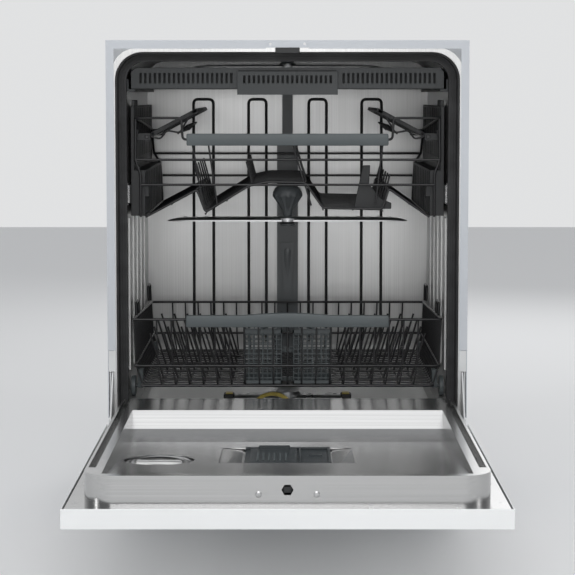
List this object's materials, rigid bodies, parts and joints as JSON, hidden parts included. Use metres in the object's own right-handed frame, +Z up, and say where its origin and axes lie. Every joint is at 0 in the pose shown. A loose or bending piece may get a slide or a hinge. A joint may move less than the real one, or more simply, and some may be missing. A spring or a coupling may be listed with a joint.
{
  "type": "built-in dishwasher",
  "caption": "Built-in dishwasher with its door folded down, steel tub, two wire racks on rails and wheels, a cutlery tray and spray arms.",
  "frame": {"origin": "on the floor, midway across the cabinet and midway between the open door's tip and the cabinet's back", "axes": "+X to the right when facing the open door, +Y towards the back, +Z up"},
  "size_m": [0.596, 1.2, 0.82],
  "materials": {
    "cabinet_paint": "satin",
    "galvanised": "matt",
    "tub_steel": "satin",
    "liner_steel": "brushed",
    "seal_rubber": "matt",
    "door_white": "gloss",
    "bracket_white": "matt",
    "arm_chrome": "polished",
    "handle_grey": "satin",
    "rack_black": "satin, nylon coated wire",
    "panel_black": "matt",
    "tray_grey": "satin",
    "duct_grey": "satin",
    "base_grey": "matt",
    "filter_yellow": "satin",
    "dispenser_dark": "satin",
    "salt_grey": "satin",
    "rail_steel": "bright",
    "valve_white": "matt",
    "fastener_steel": "zinc plated",
    "button_silver": "satin"
  },
  "bodies": {
    "cabinet": {"tub": "tub_steel", "door_seal": "seal_rubber", "side_panel_left": "cabinet_paint", "side_panel_right": "cabinet_paint", "top_frame": "cabinet_paint", "rear_panel": "galvanised", "base_tray": "base_grey", "kick_plate": "cabinet_paint", "levelling_feet": "base_grey", "latch_strike": "panel_black", "hinge_brackets": "bracket_white", "rack_rails": "rail_steel", "tray_rails": "tray_grey", "feed_duct": "duct_grey", "sump": "base_grey", "filter_plate": "tub_steel", "circulation_pump": "base_grey", "drain_pump": "base_grey", "inlet_valve": "valve_white", "drain_outlet": "base_grey", "mains_inlet": "panel_black", "door_springs": "fastener_steel"},
    "filter": {"coarse_filter": "filter_yellow"},
    "door": {"door_liner": "liner_steel", "door_panel": "door_white", "control_fascia": "dispenser_dark", "hinge_arms": "bracket_white", "dispenser_body": "dispenser_dark", "salt_container": "salt_grey", "latch_body": "base_grey", "liner_screws": "fastener_steel"},
    "detergent_lid": {"detergent_lid": "dispenser_dark"},
    "rinse_cap": {"rinse_cap": "dispenser_dark"},
    "salt_cap": {"salt_cap": "liner_steel"},
    "power_button": {"power_button": "button_silver"},
    "program_button_1": {"program_button_1": "button_silver"},
    "program_button_2": {"program_button_2": "button_silver"},
    "program_button_3": {"program_button_3": "button_silver"},
    "latch_pawl": {"latch_pawl": "panel_black"},
    "upper_basket": {"upper_rack": "rack_black", "upper_handle": "handle_grey", "adjusters": "panel_black", "arm_feed": "duct_grey"},
    "upper_spray_arm": {"upper_spray_arm": "arm_chrome"},
    "cup_shelf_left": {"cup_shelf_left": "rack_black"},
    "cup_shelf_right": {"cup_shelf_right": "rack_black"},
    "rail_slides": {"rail_slides": "rail_steel"},
    "cutlery_tray": {"cutlery_tray": "tray_grey"},
    "top_spray_arm": {"top_spray_arm": "arm_chrome"},
    "lower_basket": {"lower_rack_floor": "rack_black", "lower_rack_ends": "rack_black", "lower_rack_sides": "rack_black", "lower_rack_tines": "rack_black", "wheel_brackets": "handle_grey", "lower_handle": "handle_grey", "cutlery_basket": "handle_grey"},
    "lower_spray_arm": {"lower_spray_arm": "arm_chrome"},
    "front_wheels": {"front_wheels": "handle_grey"},
    "rear_wheels": {"rear_wheels": "handle_grey"}
  },
  "joints": [
    {"name": "door_hinge", "type": "hinge", "parent": "cabinet", "child": "door", "pos_m": [0, 0.032, 0.184], "axis": [1, 0, 0], "range_deg": [-90, 0], "deforming": ["door_springs"]},
    {"name": "filter_twist", "type": "hinge", "parent": "cabinet", "child": "filter", "pos_m": [-0.026, 0.188, 0.172], "axis": [0, 0, 1], "range_deg": [0, 60]},
    {"name": "detergent_lid_slide", "type": "slide", "parent": "door", "child": "detergent_lid", "axis": [1, 0, 0], "range_m": [-0.04, 0]},
    {"name": "rinse_cap_hinge", "type": "hinge", "parent": "door", "child": "rinse_cap", "pos_m": [0.0395, -0.404, 0.211], "axis": [-1, 0, 0], "range_deg": [-80, 0]},
    {"name": "salt_cap_turn", "type": "hinge", "parent": "door", "child": "salt_cap", "pos_m": [-0.182, -0.4, 0.205], "axis": [0, 0, 1], "range_deg": [0, 90]},
    {"name": "power_button_press", "type": "slide", "parent": "door", "child": "power_button", "axis": [0, 0, 1], "range_m": [0, 0.0015], "stiffness_N_per_m": 400, "springref_m": -0.001},
    {"name": "program_button_1_press", "type": "slide", "parent": "door", "child": "program_button_1", "axis": [0, 0, 1], "range_m": [0, 0.0015], "stiffness_N_per_m": 400, "springref_m": -0.001},
    {"name": "program_button_2_press", "type": "slide", "parent": "door", "child": "program_button_2", "axis": [0, 0, 1], "range_m": [0, 0.0015], "stiffness_N_per_m": 400, "springref_m": -0.001},
    {"name": "program_button_3_press", "type": "slide", "parent": "door", "child": "program_button_3", "axis": [0, 0, 1], "range_m": [0, 0.0015], "stiffness_N_per_m": 400, "springref_m": -0.001},
    {"name": "latch_pawl_slide", "type": "slide", "parent": "door", "child": "latch_pawl", "axis": [0, -1, 0], "range_m": [0, 0.006], "stiffness_N_per_m": 200, "springref_m": -0.002},
    {"name": "upper_basket_slide", "type": "slide", "parent": "cabinet", "child": "upper_basket", "axis": [0, -1, 0], "range_m": [0, 0.45]},
    {"name": "rail_slides_travel", "type": "slide", "parent": "cabinet", "child": "rail_slides", "axis": [0, -1, 0], "range_m": [0, 0.225]},
    {"name": "upper_arm_spin", "type": "hinge", "parent": "upper_basket", "child": "upper_spray_arm", "pos_m": [0, 0.316, 0.508], "axis": [0, 0, 1], "continuous": true},
    {"name": "cup_shelf_left_fold", "type": "hinge", "parent": "upper_basket", "child": "cup_shelf_left", "pos_m": [-0.238, 0.305, 0.66], "axis": [0, -1, 0], "range_deg": [0, 22]},
    {"name": "cup_shelf_right_fold", "type": "hinge", "parent": "upper_basket", "child": "cup_shelf_right", "pos_m": [0.238, 0.305, 0.66], "axis": [0, 1, 0], "range_deg": [0, 22]},
    {"name": "cutlery_tray_slide", "type": "slide", "parent": "cabinet", "child": "cutlery_tray", "axis": [0, -1, 0], "range_m": [0, 0.4]},
    {"name": "top_arm_spin", "type": "hinge", "parent": "cabinet", "child": "top_spray_arm", "pos_m": [0, 0.316, 0.782], "axis": [0, 0, 1], "continuous": true},
    {"name": "lower_basket_slide", "type": "slide", "parent": "cabinet", "child": "lower_basket", "axis": [0, -1, 0], "range_m": [0, 0.5]},
    {"name": "lower_arm_spin", "type": "hinge", "parent": "cabinet", "child": "lower_spray_arm", "pos_m": [0, 0.316, 0.186], "axis": [0, 0, 1], "continuous": true},
    {"name": "front_wheels_roll", "type": "hinge", "parent": "lower_basket", "child": "front_wheels", "pos_m": [0, 0.14, 0.2335], "axis": [1, 0, 0], "range_deg": [-1, 1638]},
    {"name": "rear_wheels_roll", "type": "hinge", "parent": "lower_basket", "child": "rear_wheels", "pos_m": [0, 0.48, 0.2335], "axis": [1, 0, 0], "range_deg": [-1, 1638]}
  ],
  "couplings": [
    {"joint": "rail_slides_travel", "follows": "upper_basket_slide", "ratio": 0.5},
    {"joint": "front_wheels_roll", "follows": "lower_basket_slide", "rad_per_m": 57.143},
    {"joint": "rear_wheels_roll", "follows": "lower_basket_slide", "rad_per_m": 57.143}
  ]
}
